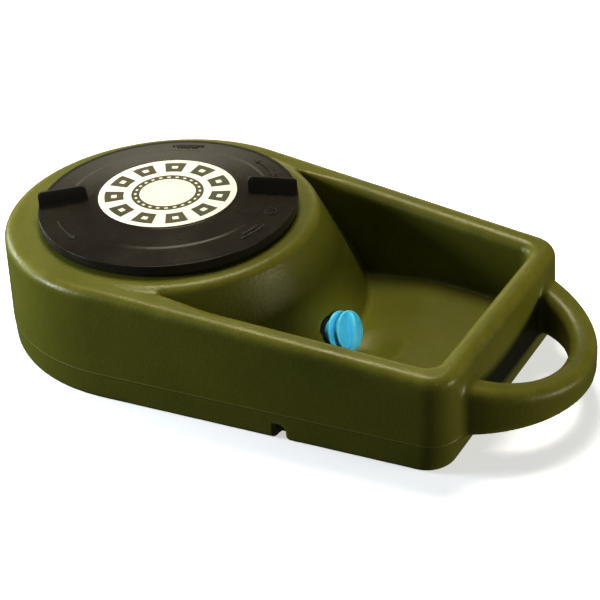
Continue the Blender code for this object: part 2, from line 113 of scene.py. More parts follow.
NOTCH_DEPTH = 14.0
HATCH_RADIUS = 111.8
OUTLET_Z = 33.9
OUTLET_HOLE = 14.8
BOSS_RADIUS = 22.0
BOSS_LENGTH = 18.0
SUMP_RADIUS = 60.0
SUMP_REACH = 207.0
SUMP_Z = 13.5
CELL = 3.35

# Lid
LID_RADIUS = LID_HIGH.x
LID_EDGE_Z = 129.9
LID_CROWN_Z = 136.9
LID_FLAT = 71.0
LID_WALL = 3.4
LID_BAND_LOW = 119.9
LID_SEAT_RADIUS = 116.5
LID_SEAT_Z = 124.6
SKIRT_RADIUS = 103.2
TAB_ANGLE = math.radians(30.2)
TAB_INNER = 78.0
TAB_OUTER = 126.0
TAB_HALF = 2.0
TAB_HEIGHT = 15.3
THREAD_PITCH = 10.0
THREAD_TURNS = 1.25
THREAD_START_Z = 101.1
THREAD_RISE = 2.7
MARK_ROOT = 1.5
MARK_RISE = 0.15

OUTLET_FOOT = TOWER_RADIUS + TOWER_SLOPE * (TANK_TOP - OUTLET_Z)
OUTLET_BEARING = math.atan2(STOPPER_AXIS.y, STOPPER_AXIS.x)
OUTLET_TILT = math.asin(STOPPER_AXIS.z)
STEM_RADIUS = 11.6
GROOVE_RADIUS = 10.0
STOPPER_CORE = 12.3
RIB_RADIUS = 19.7
FIN_HALF = 2.3
FIN_SPAN = 17.7
FIN_TOP = 27.6
FIN_TURN = math.radians(-26.0)


def outlet_frame():
    """Placement in millimetres whose +Z runs out along the stopper's axis from the tower's side."""
    turn = Matrix.Rotation(OUTLET_BEARING, 4, "Z")
    lean = Matrix.Rotation(0.5 * math.pi - OUTLET_TILT, 4, "Y")
    return turn @ Matrix.Translation((OUTLET_FOOT, 0.0, OUTLET_Z)) @ lean


# ---------------------------------------------------------------- signed distances

def both(a, b, radius):
    """Distance to what lies inside both shapes, with the edge between them rounded."""
    u = np.maximum(a + radius, 0.0)
    v = np.maximum(b + radius, 0.0)
    return np.minimum(-radius, np.maximum(a, b)) + np.hypot(u, v)


def either(a, b, radius):
    """Distance to the two shapes joined, with a fillet in the corner between them."""
    u = np.maximum(radius - a, 0.0)
    v = np.maximum(radius - b, 0.0)
    return np.maximum(radius, np.minimum(a, b)) - np.hypot(u, v)


def plan_distance(x, y, radius, end_x, corner):
    """Plan outline: a circle about the origin, two tangent sides that draw in, and a flat end."""
    across = np.abs(y)
    side = x * math.sin(SIDE_TAPER) + across * math.cos(SIDE_TAPER) - radius
    ahead = x * math.cos(SIDE_TAPER) - across * math.sin(SIDE_TAPER) > 0.0
    return both(np.where(ahead, side, np.hypot(x, y) - radius), x - end_x, corner)


def rim_height(x):
    level = TANK_TOP - 0.1
    sloped = RIM_CREST_Z - RIM_SLOPE * x
    return level - np.logaddexp(0.0, (level - sloped) / 0.25) * 0.25


def outer_wall(x, y, z):
    draft = DRAFT * np.abs(z - PARTING_Z)
    undercut = END_UNDERCUT * np.maximum(0.0, 1.0 - z / PARTING_Z)
    drawn_in = x + undercut * (x > 0.6 * TANK_END_X)
    return plan_distance(drawn_in, y, TANK_RADIUS, TANK_END_X, TANK_CORNER) + draft


def ease(t):
    t = np.clip(t, 0.0, 1.0)
    return t * t * (3.0 - 2.0 * t)


def side_ring(x, y, z):
    """The rim and side walls around the basin, with the rounded inner lip."""
    rim = rim_height(x)
    depth = np.maximum(rim - LIP_ROUND - z, 0.0)
    inside = plan_distance(x, y, BASIN_RADIUS, BASIN_END_X, BASIN_CORNER) + BASIN_DRAFT * depth
    inside = both(inside, BASIN_START_X - x, 2.5)
    lip = LIP_START + (LIP_ROUND - LIP_START) * ease((x - BASIN_START_X) / 60.0)
    return both(z - rim, -inside, lip)


def basin_bed(x, y, z):
    """The tower's cone and the basin floor, which climbs away from the cone's foot and then runs level."""
    reach = np.hypot(x, y)
    cone = (reach - TOWER_RADIUS - TOWER_SLOPE * (TANK_TOP - z)) * math.cos(math.atan(TOWER_SLOPE))
    tower = both(cone, z - TANK_TOP, TOWER_ROUND)
    ramp = FLOOR_FOOT_Z + FLOOR_RISE * (reach - FLOOR_FOOT_RADIUS)
    level = FLOOR_LEVEL - np.logaddexp(0.0, (FLOOR_LEVEL - ramp) / 2.0) * 2.0
    bearing_x = SUMP_REACH * math.cos(OUTLET_BEARING)
    bearing_y = SUMP_REACH * math.sin(OUTLET_BEARING)
    sphere_z = z - SUMP_Z - SUMP_RADIUS
    dish = np.sqrt((x - bearing_x) ** 2 + (y - bearing_y) ** 2 + sphere_z**2) - SUMP_RADIUS
    floor = both(z - np.maximum(level, 8.0), -dish, 6.0)
    return either(tower, floor, 5.0)


def handle(x, y, z):
    """The carrying handle: a band between two arcs, whose top slopes down to the tip."""
    angle = np.arctan2(y, x - HANDLE_X)
    reach = np.hypot(x - HANDLE_X, y)
    turn = np.minimum(np.abs(angle) / HANDLE_ROOT_ANGLE, 1.2)
    outer = HANDLE_OUTER + HANDLE_FLARE * turn**3
    along = HANDLE_X + np.cos(angle) * 0.5 * (outer + HANDLE_INNER) - TANK_END_X
    band = np.maximum(reach - outer, HANDLE_INNER - reach)
    band = both(band, z - (HANDLE_TOP_Z - HANDLE_TOP_SLOPE * along), HANDLE_TOP_ROUND)
    band = both(band, HANDLE_BOTTOM_Z + HANDLE_BOTTOM_SLOPE * along - z, HANDLE_BOTTOM_ROUND)
    return np.maximum(band, 0.5 * (BASIN_END_X + TANK_END_X) - x)


def notch(x, y, z):
    """Round-topped notches in the bottom edge of both long sides."""
    slot = np.hypot(x - NOTCH_X, np.maximum(z - NOTCH_TOP + NOTCH_HALF, 0.0)) - NOTCH_HALF
    return np.maximum(slot, -outer_wall(x, y, z) - NOTCH_DEPTH)


def moulding(x, y, z):
    """The tank's outer skin as a filled solid."""
    rim_gap = TANK_TOP - rim_height(x)
    fillet = np.clip(0.9 * rim_gap, 0.05, 3.5)
    top = either(side_ring(x, y, z), basin_bed(x, y, z), fillet)
    body = both(both(top, outer_wall(x, y, z), TOP_ROUND), -z, BOTTOM_ROUND)
    body = either(body, handle(x, y, z), HANDLE_FILLET)
    return both(body, -notch(x, y, z), 2.5)


def tank_distance(x, y, z):
    """The hollow tank: one wall thickness of skin, opened at the hatch and at the outlet."""
    skin = moulding(x, y, z)
    near_hatch = ease((np.hypot(x, y) - HATCH_RADIUS - 8.0) / 8.0)
    wall = np.where(z > 100.0, HATCH_WALL + (WALL - HATCH_WALL) * near_hatch, WALL)
    shell = np.maximum(skin, -skin - wall)
    to_outlet = outlet_frame().inverted()
    u, v, w = (row[0] * x + row[1] * y + row[2] * z + row[3] for row in list(to_outlet)[:3])
    around = np.hypot(u, v)
    boss = np.maximum(np.maximum(around - BOSS_RADIUS, -w - BOSS_LENGTH), skin)
    shell = np.minimum(shell, np.where(w < 10.0, boss, 1e3))
    outlet = np.maximum(around - OUTLET_HOLE, np.abs(w) - 30.0)
    hatch = np.maximum(np.hypot(x, y) - HATCH_RADIUS, 100.0 - z)
    return np.maximum(shell, -np.minimum(outlet, hatch))


# ---------------------------------------------------------------- meshes

def gradient(distance, points, step=0.4):
    """Unit gradient of a distance function at an array of points."""
    columns = []
    for axis in range(3):
        offset = np.zeros(3)
        offset[axis] = step
        ahead = distance(*(points + offset).T)
        behind = distance(*(points - offset).T)
        columns.append(ahead - behind)
    slope = np.stack(columns, axis=1)
    return slope / np.maximum(np.linalg.norm(slope, axis=1, keepdims=True), 1e-9)


def cell_vertices(values, low, cell):
    """One vertex in each grid cell that the surface crosses, at the middle of its edge crossings."""
    inside = values < 0.0
    corners = [(i, j, k) for i in (0, 1) for j in (0, 1) for k in (0, 1)]
    shape = tuple(n - 1 for n in values.shape)

    def corner_of(array, corner):
        return array[tuple(slice(c, c + n) for c, n in zip(corner, shape))]

    total = np.zeros(shape + (3,))
    count = np.zeros(shape)
    for a in corners:
        for axis in range(3):
            if a[axis]:
                continue
            b = tuple(1 if i == axis else a[i] for i in range(3))
            va, vb = corner_of(values, a), corner_of(values, b)
            crossed = corner_of(inside, a) != corner_of(inside, b)
            t = np.where(crossed, va / np.where(crossed, va - vb, 1.0), 0.0)
            for i in range(3):
                total[..., i] += crossed * (a[i] + (t if i == axis else 0.0))
            count += crossed
    cells = np.argwhere(count > 0)
    index = np.full(shape, -1)
    index[tuple(cells.T)] = np.arange(len(cells))
    middle = total[tuple(cells.T)] / count[tuple(cells.T)][:, None]
    return (cells + middle) * cell + low, index, inside


def cell_faces(index, inside):
    """A quad round every grid edge that the surface crosses."""
    quads = []
    for axis in range(3):
        u, v = (axis + 1) % 3, (axis + 2) % 3
        first = np.take(inside, range(inside.shape[axis] - 1), axis=axis)
        second = np.take(inside, range(1, inside.shape[axis]), axis=axis)
        for leaves in (True, False):
            edges = np.argwhere((first & ~second) if leaves else (~first & second))
            keep = (edges[:, u] > 0) & (edges[:, v] > 0)
            keep &= (edges[:, u] < inside.shape[u] - 1) & (edges[:, v] < inside.shape[v] - 1)
            edges = edges[keep]
            ring = []
            for du, dv in ((-1, -1), (0, -1), (0, 0), (-1, 0)):
                cell = edges.copy()
                cell[:, u] += du
                cell[:, v] += dv
                ring.append(index[tuple(cell.T)])
            quad = np.stack(ring, axis=1)
            quads.append(quad if leaves else quad[:, ::-1])
    return np.concatenate(quads)


def surface_mesh(name, distance, low, high, cell):
    """A fine quad mesh of a distance function's zero surface, with its points drawn onto the surface."""
    low = np.array(low, float)
    sizes = [int(math.ceil((b - a) / cell)) + 1 for a, b in zip(low, high)]
    axes = [low[i] + cell * np.arange(sizes[i]) for i in range(3)]
    values = distance(*np.meshgrid(*axes, indexing="ij"))
    points, index, inside = cell_vertices(values, low, cell)
    quads = cell_faces(index, inside)
    for _ in range(4):
        value = distance(*points.T)
        points -= np.clip(value, -0.4 * cell, 0.4 * cell)[:, None] * gradient(distance, points)
    normals = gradient(distance, points)
    mesh = bpy.data.meshes.new(name)
    mesh.from_pydata((points * MM).tolist(), [], quads.tolist())
    mesh.update()
    mesh.shade_smooth()
    mesh.normals_split_custom_set_from_vertices(normals.tolist())
    return link_object(name, mesh), points


def link_object(name, mesh):
    obj = bpy.data.objects.new(name, mesh)
    bpy.context.scene.collection.objects.link(obj)
    return obj


def add_bmesh(name, bm):
    """Turn a bmesh in millimetres into an object in metres, with faces out and soft edges smooth."""
    bmesh.ops.recalc_face_normals(bm, faces=bm.faces)
    bm.transform(Matrix.Scale(MM, 4))
    mesh = bpy.data.meshes.new(name)
    bm.to_mesh(mesh)
    bm.free()
    mesh.shade_smooth()
    mesh.set_sharp_from_angle(angle=math.radians(38.0))
    return link_object(name, mesh)


def rounded(profile, radius, steps=5):
    """Round the corners of a (radius, height) outline; a point may carry its own rounding."""
    result = []
    count = len(profile)
    for i, point in enumerate(profile):
        here = Vector(point[:2])
        size = point[2] if len(point) > 2 else radius
        if i in (0, count - 1) or size <= 0.0:
            result.append(tuple(here))
            continue
        before = (Vector(profile[i - 1][:2]) - here)
        after = (Vector(profile[i + 1][:2]) - here)
        size = min(size, 0.45 * before.length, 0.45 * after.length)
        start = here + before.normalized() * size
        stop = here + after.normalized() * size
        for k in range(steps + 1):
            t = k / steps
            result.append(tuple(start * (1 - t) ** 2 + here * 2 * t * (1 - t) + stop * t * t))
    return result


def revolve(profile, segments=192):
    """Turn a (radius, height) outline about Z. Points on the axis become single vertices."""
    bm = bmesh.new()
    rings = []
    for radius, height in profile:
        if radius < 1e-6:
            rings.append([bm.verts.new((0.0, 0.0, height))])
            continue
        ring = []
        for i in range(segments):
            angle = 2.0 * math.pi * i / segments
            ring.append(bm.verts.new((radius * math.cos(angle), radius * math.sin(angle), height)))
        rings.append(ring)
    closed = profile[0][0] > 1e-6
    pairs = list(zip(rings, rings[1:])) + ([(rings[-1], rings[0])] if closed else [])
    for a, b in pairs:
        for i in range(segments):
            j = (i + 1) % segments
            if len(a) == 1:
                bm.faces.new((a[0], b[i], b[j]))
            elif len(b) == 1:
                bm.faces.new((a[i], b[0], a[j]))
            else:
                bm.faces.new((a[i], b[i], b[j], a[j]))
    return bm


def loft(rings):
    """Close a stack of equal-length point rings with end caps."""
    bm = bmesh.new()
    loops = [[bm.verts.new(point) for point in ring] for ring in rings]
    count = len(loops[0])
    for low, high in zip(loops, loops[1:]):
        for i in range(count):
            j = (i + 1) % count
            bm.faces.new((low[i], low[j], high[j], high[i]))
    bm.faces.new(loops[0][::-1])
    bm.faces.new(loops[-1])
    return bm


def join_solids(base, *others):
    """Boolean union of closed objects into the first one."""
    for other in others:
        modifier = base.modifiers.new("join", "BOOLEAN")
        modifier.operation = "UNION"
        modifier.solver = "EXACT"
        modifier.object = other
    depsgraph = bpy.context.evaluated_depsgraph_get()
    mesh = bpy.data.meshes.new_from_object(base.evaluated_get(depsgraph))
    base.modifiers.clear()
    base.data = mesh
    mesh.shade_smooth()
    mesh.set_sharp_from_angle(angle=math.radians(38.0))
    for other in others:
        bpy.data.objects.remove(other)
    return base


# ---------------------------------------------------------------- pieces

def make_tank():
    low = (TANK_LOW.x - 8.0, TANK_LOW.y - 8.0, -8.0)
    high = (TANK_HIGH.x + 8.0, TANK_HIGH.y + 8.0, TANK_TOP + 8.0)
    tank, points = surface_mesh("tank_moulding", tank_distance, low, high, CELL)
    on_wall = np.exp(-((outer_wall(*points.T) / 1.5) ** 2))
    on_handle = np.exp(-((handle(*points.T) / 1.5) ** 2))
    seam = tank.data.attributes.new("seam", "FLOAT", "POINT")
    seam.data.foreach_set("value", np.maximum(on_wall, on_handle).astype(np.float32))
    return tank


def lid_surface_z(radius):
    slope = (LID_CROWN_Z - LID_EDGE_Z) / (LID_RADIUS - LID_FLAT)
    return LID_CROWN_Z - slope * max(radius - LID_FLAT, 0.0)


def lid_disc():
    """Crowned disc, side band, gasket seat and the plain part of the skirt."""
    bore = SKIRT_RADIUS - LID_WALL
    step = 0.35
    profile = [
        (0.0, LID_CROWN_Z),
        (LID_FLAT - 2.0, LID_CROWN_Z, 0.6),
        (LID_FLAT - 1.2, LID_CROWN_Z - step, 0.4),
        (97.0, lid_surface_z(97.0) - step, 1.5),
        (99.5, lid_surface_z(99.5) - step - 0.5, 1.5),
        (122.0, lid_surface_z(122.0) - 0.6, 1.0),
        (LID_RADIUS, LID_EDGE_Z, 1.3),
        (LID_RADIUS - 0.5, LID_BAND_LOW, 0.9),
        (LID_RADIUS - LID_WALL, LID_BAND_LOW, 0.9),
        (LID_RADIUS - LID_WALL, LID_EDGE_Z - LID_WALL, 1.0),
        (LID_SEAT_RADIUS, lid_surface_z(LID_SEAT_RADIUS) - LID_WALL, 0.6),
        (LID_SEAT_RADIUS, LID_SEAT_Z, 0.6),
        (SKIRT_RADIUS, LID_SEAT_Z, 0.6),
        (SKIRT_RADIUS, LID_LOW.z, 0.8),
        (bore, LID_LOW.z, 0.8),
        (bore, lid_surface_z(bore) - LID_WALL, 1.5),
        (LID_FLAT, LID_CROWN_Z - LID_WALL, 1.5),
        (0.0, LID_CROWN_Z - LID_WALL),
    ]
    return add_bmesh("hatch_lid", revolve(rounded(profile, 1.0)))


def lid_thread():
    """Right-hand helical ridge on the skirt, faded at both ends."""
    steps = 90
    root = SKIRT_RADIUS - 0.8
    rings = []
    for i in range(steps + 1):
        turn = THREAD_TURNS * i / steps
        angle = 2.0 * math.pi * turn
        z = THREAD_START_Z + THREAD_PITCH * turn
        fade = min(1.0, 8.0 * min(turn, THREAD_TURNS - turn) + 0.15)
        tip = SKIRT_RADIUS + THREAD_RISE * fade
        section = [(root, z - 1.8), (tip - 0.4, z - 1.1), (tip, z - 0.6)]
        section += [(tip, z + 0.6), (tip - 0.4, z + 1.1), (root, z + 1.8)]
        rings.append([(r * math.cos(angle), r * math.sin(angle), h) for r, h in section])
    return add_bmesh("lid_thread", loft(rings))


def lid_tab(angle):
    """Upright grip tab: a thin blade along a radius, with a flared foot and rounded corners."""
    def top_at(radius):
        inner = min(max((radius - TAB_INNER) / 6.0, 0.0), 1.0)
        outer = min(max((TAB_OUTER - radius) / 3.5, 0.0), 1.0)
        round_in = 1.0 - math.sqrt(max(1.0 - (1.0 - inner) ** 2, 0.0))
        round_out = 1.0 - math.sqrt(max(1.0 - (1.0 - outer) ** 2, 0.0))
        return lid_surface_z(radius) + TAB_HEIGHT - 6.0 * round_in - 3.5 * round_out

    rings = []
    stations = [0.0, 0.4, 1.0, 2.0, 3.5, 5.0, 6.5, 10.0, 20.0, 30.0, 40.0]
    stations += [TAB_OUTER - TAB_INNER - d for d in (4.0, 3.0, 2.0, 1.2, 0.6, 0.2, 0.0)]
    for along in stations:
        radius = TAB_INNER + along
        base = lid_surface_z(radius)
        top = top_at(radius)
        half = TAB_HALF - 0.9 * (along < 0.2) - 0.5 * (TAB_OUTER - radius < 0.1)
        section = [(half + 2.4, base - 1.6), (half + 1.6, base - 0.1), (half + 0.5, base + 0.9),
                   (half, base + 2.4), (half - 0.1, top - 1.2), (half - 0.8, top - 0.2)]
        flipped = [(-w, h) for w, h in section[::-1]]
        rings.append([(radius, w, h) for w, h in section + flipped])
    bm = loft(rings)
    bm.transform(Matrix.Rotation(angle, 4, "Z"))
    return add_bmesh("lid_tab", bm)


def ring_sector(inner, outer, start, stop, low, high, steps=16):
    """A flat raised mark bounded by two arcs."""
    angles = [start + (stop - start) * i / steps for i in range(steps + 1)]
    outline = [(outer * math.cos(a), outer * math.sin(a)) for a in angles]
    outline += [(inner * math.cos(a), inner * math.sin(a)) for a in angles[::-1]]
    return loft([[(x, y, z) for x, y in outline] for z in (low, high)])


def raised_arrow(centre_angle, direction):
    """A curved arrow moulded into the lid: a plain turning mark."""
    radius = 110.0
    z = lid_surface_z(radius)
    half = math.radians(9.0)
    start, stop = centre_angle - half, centre_angle + half
    low, high = z - MARK_ROOT, z + MARK_RISE
    pieces = [ring_sector(radius - 0.9, radius + 0.9, start, stop, low, high)]
    tip_angle = centre_angle + direction * (half + math.radians(3.0))
    foot_angle = centre_angle + direction * (half - math.radians(0.5))
    corners = [(radius, tip_angle), (radius - 3.4, foot_angle), (radius + 3.4, foot_angle)]
    outline = [(r * math.cos(a), r * math.sin(a)) for r, a in corners]
    pieces.append(loft([[(x, y, level) for x, y in outline] for level in (low, high)]))
    return pieces


def raised_rows(centre_angle):
    """Short raised bars in two rows, where a maker would put moulded marks."""
    pieces = []
    for row, count in ((112.5, 9), (108.0, 6)):
        z = lid_surface_z(row)
        low, high = z - MARK_ROOT, z + MARK_RISE
        pitch = math.radians(1.9)
        for i in range(count):
            middle = centre_angle + (i - 0.5 * (count - 1)) * pitch
            half = 0.30 * pitch if i % 3 else 0.42 * pitch
            start, stop = middle - half, middle + half
            pieces.append(ring_sector(row - 1.3, row + 1.3, start, stop, low, high, 2))
    return pieces


def raised_dial(angle):
    """A small ring with dots round it, like a mould maker's date clock."""
    radius = 107.0
    z = lid_surface_z(radius)
    low, high = z - MARK_ROOT, z + MARK_RISE
    pieces = [ring_sector(5.2, 6.2, 0.0, 1.999 * math.pi, low, high, 40)]
    for i in range(8):
        middle = 2.0 * math.pi * i / 8
        pieces.append(ring_sector(2.4, 3.9, middle - 0.16, middle + 0.16, low, high, 2))
    for bm in pieces:
        bm.transform(Matrix.Translation((radius * math.cos(angle), radius * math.sin(angle), 0.0)))
    return pieces


def make_lid():
    lid = lid_disc()
    others = [lid_thread(), lid_tab(TAB_ANGLE), lid_tab(TAB_ANGLE + math.pi)]
    return join_solids(lid, *others)


def make_lid_marks():
    """All the small raised marks on the lid, as one piece of separate low solids."""
    pieces = raised_rows(math.radians(112.0))
    pieces += raised_arrow(math.radians(58.0), 1.0)
    pieces += raised_rows(math.radians(47.0))
    pieces += raised_dial(math.radians(9.0))
    pieces += raised_arrow(math.radians(238.0), 1.0)
    pieces += raised_rows(math.radians(-12.0))
    whole = bmesh.new()
    for bm in pieces:
        mesh = bpy.data.meshes.new("mark")
        bm.to_mesh(mesh)
        bm.free()
        whole.from_mesh(mesh)
        bpy.data.meshes.remove(mesh)
    return add_bmesh("lid_raised_marks", whole)


def make_label():
    """Thin round sticker with a soft cut edge."""
    radius = LABEL_HIGH.x
    low, high = LABEL_LOW.z, LABEL_HIGH.z
    profile = [(0.0, high), (0.6 * radius, high, 0.0), (radius, high, 0.25), (radius, low, 0.0), (0.0, low)]
    return add_bmesh("lid_sticker", revolve(rounded(profile, 0.2, 3)))


def stopper_body():
    """Stopper outline, from the middle of its outer face down to the inner end of its stem."""
    shoulder = RIB_RADIUS - 4.0
    profile = [
        (0.0, 22.0),
        (RIB_RADIUS - 4.5, 22.2, 2.0),
        (RIB_RADIUS, 21.8, 1.6),
        (RIB_RADIUS - 0.3, 18.8, 1.4),
        (shoulder, 17.6, 1.5),
        (STOPPER_CORE, 17.0, 1.5),
        (STOPPER_CORE, 13.0, 1.5),
        (shoulder, 12.2, 1.5),
        (RIB_RADIUS, 11.4, 1.5),
        (RIB_RADIUS, 8.9, 1.5),
        (shoulder, 8.2, 1.0),
        (STOPPER_CORE, 7.8, 1.0),
        (STOPPER_CORE, 1.7, 0.6),
        (STEM_RADIUS, 1.7, 0.3),
    ]
    for ring in range(3):
        high = -2.5 - 5.0 * ring
        profile += [(STEM_RADIUS, high, 0.8), (GROOVE_RADIUS, high - 1.0, 0.6)]
        profile += [(GROOVE_RADIUS, high - 2.6, 0.6), (STEM_RADIUS, high - 3.5, 0.8)]
    profile += [(10.2, -17.6, 1.2), (0.0, -17.8)]
    return add_bmesh("soft_stopper", revolve(rounded(profile, 1.0, 4), 96))


def stopper_fin():
    """Grip fin across the stopper's outer face, thinner and lower towards its ends."""
    rings = []
    for along in np.sin(np.linspace(-0.5 * math.pi, 0.5 * math.pi, 21)) * FIN_SPAN:
        share = abs(along) / FIN_SPAN
        top = FIN_TOP - 4.5 * share**4
        half = FIN_HALF * (1.0 - 0.45 * share**6)
        section = [(half + 1.2, 20.4), (half + 0.5, 22.5), (half, 23.9)]
        section += [(half - 0.2, top - 1.0), (half - 1.0, top)]
        flipped = [(-w, h) for w, h in section[::-1]]
        rings.append([(along, w, h) for w, h in section + flipped])
    fin = loft(rings)
    fin.transform(Matrix.Rotation(FIN_TURN, 4, "Z"))
    return add_bmesh("stopper_fin", fin)


def make_stopper():
    """Soft push-in stopper: grooved stem, two rounded ribs and a grip fin across its end."""
    stopper = join_solids(stopper_body(), stopper_fin())
    place = outlet_frame()
    place.translation *= MM
    stopper.data.transform(place)
    return stopper


# ---------------------------------------------------------------- materials

class Nodes:
    """A material's node tree, with short calls for the nodes used here."""

    def __init__(self, name, roughness, specular=0.5):
        self.material = bpy.data.materials.new(name)
        self.material.use_nodes = True
        self.tree = self.material.node_tree
        self.shader = self.tree.nodes["Principled BSDF"]
        self.shader.inputs["Roughness"].default_value = roughness
        self.shader.inputs["Specular IOR Level"].default_value = specular
        self.coords = self.tree.nodes.new("ShaderNodeTexCoord").outputs["Object"]

    def put(self, socket, value):
        if hasattr(value, "is_output"):
            self.tree.links.new(value, socket)
        else:
            socket.default_value = value

    def noise(self, scale, detail=3.0, roughness=0.5):
        node = self.tree.nodes.new("ShaderNodeTexNoise")
        node.inputs["Scale"].default_value = scale
        node.inputs["Detail"].default_value = detail
        node.inputs["Roughness"].default_value = roughness
        self.tree.links.new(self.coords, node.inputs["Vector"])
        return node.outputs["Fac"]

    def math(self, operation, a, b=0.0, c=0.0):
        node = self.tree.nodes.new("ShaderNodeMath")
        node.operation = operation
        for socket, value in zip(node.inputs, (a, b, c)):
            self.put(socket, value)
        return node.outputs[0]

    def remap(self, value, low, high, out_low=0.0, out_high=1.0):
        node = self.tree.nodes.new("ShaderNodeMapRange")
        node.clamp = True
        for name, given in (("Value", value), ("From Min", low), ("From Max", high),
                            ("To Min", out_low), ("To Max", out_high)):
            self.put(node.inputs[name], given)
        return node.outputs["Result"]

    def mix(self, factor, a, b):
        node = self.tree.nodes.new("ShaderNodeMix")
        node.data_type = "RGBA"
        self.put(node.inputs["Factor"], factor)
        for socket, value in ((node.inputs[6], a), (node.inputs[7], b)):
            self.put(socket, (*value, 1.0) if isinstance(value, tuple) else value)
        return node.outputs[2]

    def axis(self, letter):
        node = self.tree.nodes.new("ShaderNodeSeparateXYZ")
        self.tree.links.new(self.coords, node.inputs[0])
        return node.outputs[letter]

    def pointiness(self):
        return self.tree.nodes.new("ShaderNodeNewGeometry").outputs["Pointiness"]

    def attribute(self, name):
        node = self.tree.nodes.new("ShaderNodeAttribute")
        node.attribute_name = name
        return node.outputs["Fac"]

    def bump(self, height, distance, strength=1.0, below=None):
        node = self.tree.nodes.new("ShaderNodeBump")
        node.inputs["Distance"].default_value = distance
        node.inputs["Strength"].default_value = strength
        self.tree.links.new(height, node.inputs["Height"])
        if below is not None:
            self.tree.links.new(below, node.inputs["Normal"])
        return node.outputs["Normal"]

    def finish(self, colour, normal, roughness=None):
        self.put(self.shader.inputs["Base Color"], colour)
        self.put(self.shader.inputs["Normal"], normal)
        if roughness is not None:
            self.put(self.shader.inputs["Roughness"], roughness)
        return self.material


def tank_olive():
    """Rotomoulded polyethylene: cloudy olive, waxy orange peel, pale edges that are partly scuffing and
    partly painted highlight along the rounded rims, and a parting line.
    """
    n = Nodes("tank_olive", 0.4, 0.26)
    cloud = n.noise(9.0, 3.0)
    speckle = n.noise(260.0, 3.0, 0.6)
    peel = n.noise(330.0, 2.0)
    ripple = n.noise(55.0, 2.0)
    colour = n.mix(n.remap(cloud, 0.35, 0.68), (0.112, 0.117, 0.0130), (0.142, 0.141, 0.0165))
    colour = n.mix(n.remap(speckle, 0.55, 0.75, 0.0, 0.35), colour, (0.085, 0.088, 0.008))
    # Paler, yellower colour on convex edges: partly scuffing, partly a painted highlight along the rims and
    # lips.
    edge = n.remap(n.pointiness(), 0.505, 0.56)
    edge_wear_and_painted_highlight = n.math("MULTIPLY", edge, n.remap(n.noise(38.0, 5.0, 0.7), 0.42, 0.62, 0.15, 0.8))
    colour = n.mix(edge_wear_and_painted_highlight, colour, (0.27, 0.235, 0.035))
    height = n.math("ABSOLUTE", n.math("SUBTRACT", n.axis("Z"), PARTING_Z * MM))
    line = n.remap(height, 0.0, 0.0013, 1.0, 0.0)
    line = n.math("MULTIPLY", line, n.remap(n.attribute("seam"), 0.5, 0.9))
    colour = n.mix(n.math("MULTIPLY", line, 0.55), colour, (0.26, 0.24, 0.06))
    normal = n.bump(peel, 0.00030, 0.8)
    normal = n.bump(ripple, 0.0007, 0.45, normal)
    normal = n.bump(line, 0.0006, 0.9, normal)
    roughness = n.remap(n.noise(24.0, 4.0, 0.65), 0.3, 0.7, 0.30, 0.46)
    return n.finish(colour, normal, roughness)


def lid_black():
    """Dark injection-moulded plastic with a slight sheen, faint turning marks and a painted grey highlight
    along the sharp edges and raised marks.
    """
    n = Nodes("lid_black", 0.26, 0.10)
    grain = n.noise(900.0, 2.0)
    smear = n.noise(18.0, 5.0, 0.65)
    colour = n.mix(n.remap(smear, 0.35, 0.7), (0.021, 0.0175, 0.0130), (0.032, 0.0265, 0.0195))
    # Grey on convex edges, on the lid's rim and on the raised marks: painted highlight.
    edge = n.remap(n.pointiness(), 0.52, 0.60)
    colour = n.mix(n.math("MULTIPLY", edge, 0.3), colour, (0.14, 0.13, 0.12))
    x_squared = n.math("POWER", n.axis("X"), 2.0)
    y_squared = n.math("POWER", n.axis("Y"), 2.0)
    reach = n.math("SQRT", n.math("ADD", x_squared, y_squared))
    rings = n.math("SINE", n.math("MULTIPLY", reach, 2600.0))
    normal = n.bump(grain, 0.00005, 0.6)
    normal = n.bump(rings, 0.00002, 0.25, normal)
    roughness = n.remap(smear, 0.3, 0.75, 0.22, 0.32)
    return n.finish(colour, normal, roughness)


def collar_black():
    n = Nodes("collar_black", 0.5)
    smear = n.noise(30.0, 4.0, 0.6)
    colour = n.mix(n.remap(smear, 0.35, 0.7), (0.014, 0.014, 0.013), (0.028, 0.027, 0.024))
    edge = n.remap(n.pointiness(), 0.52, 0.62)
    colour = n.mix(n.math("MULTIPLY", edge, 0.35), colour, (0.10, 0.10, 0.09))
    return n.finish(colour, n.bump(n.noise(700.0, 2.0), 0.00008, 0.6), n.remap(smear, 0.3, 0.7, 0.42, 0.6))


def gasket_rubber():
    n = Nodes("gasket_rubber", 0.75, 0.3)
    dust = n.noise(120.0, 5.0, 0.7)
    colour = n.mix(n.remap(dust, 0.5, 0.72, 0.0, 0.6), (0.020, 0.020, 0.021), (0.060, 0.058, 0.054))
    return n.finish(colour, n.bump(dust, 0.0001, 0.5), n.remap(dust, 0.3, 0.7, 0.65, 0.85))


def bushing_black():
    n = Nodes("bushing_black", 0.45)
    damp = n.noise(60.0, 4.0, 0.6)
    colour = n.mix(n.remap(damp, 0.35, 0.7), (0.012, 0.013, 0.014), (0.030, 0.030, 0.028))
    return n.finish(colour, n.bump(n.noise(600.0, 2.0), 0.00008, 0.6), n.remap(damp, 0.3, 0.7, 0.3, 0.55))


